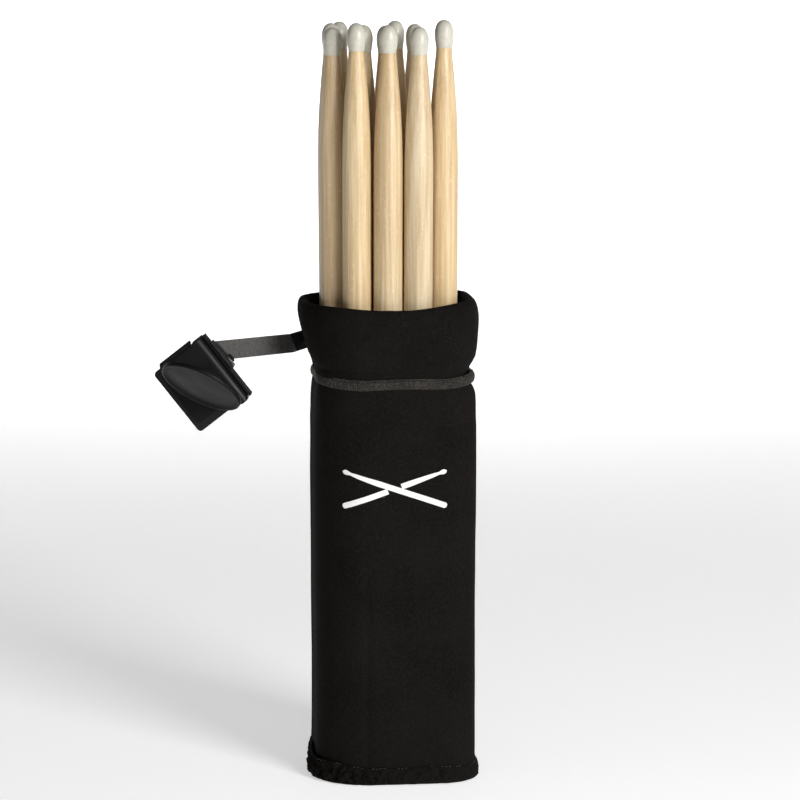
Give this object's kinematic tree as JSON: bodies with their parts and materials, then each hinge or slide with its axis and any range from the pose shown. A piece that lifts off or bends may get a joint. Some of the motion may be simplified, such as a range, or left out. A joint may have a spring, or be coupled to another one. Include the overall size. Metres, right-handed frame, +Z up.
{
  "type": "drum stick bag",
  "caption": "Square neoprene quiver for drum sticks, with a turned-down cuff and a sprung clip on a steel arm that grips a stand, shown filled with nylon-tip sticks.",
  "frame": {"origin": "centre of the bag's flat bottom, on the surface it stands on", "axes": "+Z up along the bag, front of the bag towards -Y, clip at its left on -X"},
  "size_m": [0.1724, 0.1177, 0.404],
  "materials": {
    "neoprene": "matte knitted face",
    "hem_yarn": "matte overlocked thread",
    "liner_plastic": "matte",
    "foam": "matte closed-cell foam",
    "bare_steel": "satin zinc",
    "black_coat": "satin black powder coat",
    "grey_coat": "crinkled dark grey powder coat",
    "rubber": "matte",
    "maple": "thin satin lacquer",
    "nylon": "translucent white"
  },
  "bodies": {
    "bag": {"outer_sleeve": "neoprene", "cuff": "neoprene", "cuff_hem": "hem_yarn", "base_hem": "hem_yarn", "base_panel": "neoprene", "base_board": "liner_plastic", "foam_pad": "foam", "liner_tube": "liner_plastic", "steel_hoop": "bare_steel", "arm_strap": "grey_coat", "arm_rivet_1": "bare_steel", "arm_rivet_2": "bare_steel"},
    "clip": {"back_jaw": "black_coat", "hinge_pin": "black_coat", "torsion_spring": "bare_steel", "back_pad": "rubber", "swivel_rivet": "black_coat", "swivel_washer": "bare_steel"},
    "clip_front": {"front_jaw": "black_coat", "thumb_disc": "black_coat", "front_pad": "rubber"},
    "stick_1": {"stick_1_shaft": "maple", "stick_1_tip": "nylon"},
    "stick_2": {"stick_2_shaft": "maple", "stick_2_tip": "nylon"},
    "stick_3": {"stick_3_shaft": "maple", "stick_3_tip": "nylon"},
    "stick_4": {"stick_4_shaft": "maple", "stick_4_tip": "nylon"},
    "stick_5": {"stick_5_shaft": "maple", "stick_5_tip": "nylon"},
    "stick_6": {"stick_6_shaft": "maple", "stick_6_tip": "nylon"},
    "stick_7": {"stick_7_shaft": "maple", "stick_7_tip": "nylon"},
    "stick_8": {"stick_8_shaft": "maple", "stick_8_tip": "nylon"},
    "stick_9": {"stick_9_shaft": "maple", "stick_9_tip": "nylon"},
    "stick_10": {"stick_10_shaft": "maple", "stick_10_tip": "nylon"},
    "stick_11": {"stick_11_shaft": "maple", "stick_11_tip": "nylon"},
    "stick_12": {"stick_12_shaft": "maple", "stick_12_tip": "nylon"}
  },
  "joints": [
    {"name": "clip_swivel", "type": "hinge", "parent": "bag", "child": "clip", "pos_m": [-0.08701, -0.0246, 0.22514], "axis": [-0.788, 0, -0.6157], "range_deg": [-90, 90]},
    {"name": "jaw_hinge", "type": "hinge", "parent": "clip", "child": "clip_front", "pos_m": [-0.09033, -0.028, 0.22077], "axis": [-0.6157, 0, 0.788], "range_deg": [0, 55], "stiffness_Nm_per_rad": 0.3, "springref_deg": -28.65},
    {"name": "stick_1_slide", "type": "slide", "parent": "bag", "child": "stick_1", "axis": [-0.007, 0.002, 1], "range_m": [0, 0.27]},
    {"name": "stick_2_slide", "type": "slide", "parent": "bag", "child": "stick_2", "axis": [-0.001, 0, 1], "range_m": [0, 0.27]},
    {"name": "stick_3_slide", "type": "slide", "parent": "bag", "child": "stick_3", "axis": [0.002, 0, 1], "range_m": [0, 0.27]},
    {"name": "stick_4_slide", "type": "slide", "parent": "bag", "child": "stick_4", "axis": [0.004, 0, 1], "range_m": [0, 0.27]},
    {"name": "stick_5_slide", "type": "slide", "parent": "bag", "child": "stick_5", "axis": [0.002, 0.001, 1], "range_m": [0, 0.27]},
    {"name": "stick_6_slide", "type": "slide", "parent": "bag", "child": "stick_6", "axis": [-0.007, 0.004, 1], "range_m": [0, 0.27]},
    {"name": "stick_7_slide", "type": "slide", "parent": "bag", "child": "stick_7", "axis": [-0.005, 0.006, 1], "range_m": [0, 0.27]},
    {"name": "stick_8_slide", "type": "slide", "parent": "bag", "child": "stick_8", "axis": [-0.002, 0.003, 1], "range_m": [0, 0.27]},
    {"name": "stick_9_slide", "type": "slide", "parent": "bag", "child": "stick_9", "axis": [-0.001, 0.005, 1], "range_m": [0, 0.27]},
    {"name": "stick_10_slide", "type": "slide", "parent": "bag", "child": "stick_10", "axis": [0.001, 0.001, 1], "range_m": [0, 0.27]},
    {"name": "stick_11_slide", "type": "slide", "parent": "bag", "child": "stick_11", "axis": [0.001, 0.003, 1], "range_m": [0, 0.27]},
    {"name": "stick_12_slide", "type": "slide", "parent": "bag", "child": "stick_12", "axis": [0.003, 0.003, 1], "range_m": [0, 0.27]}
  ]
}
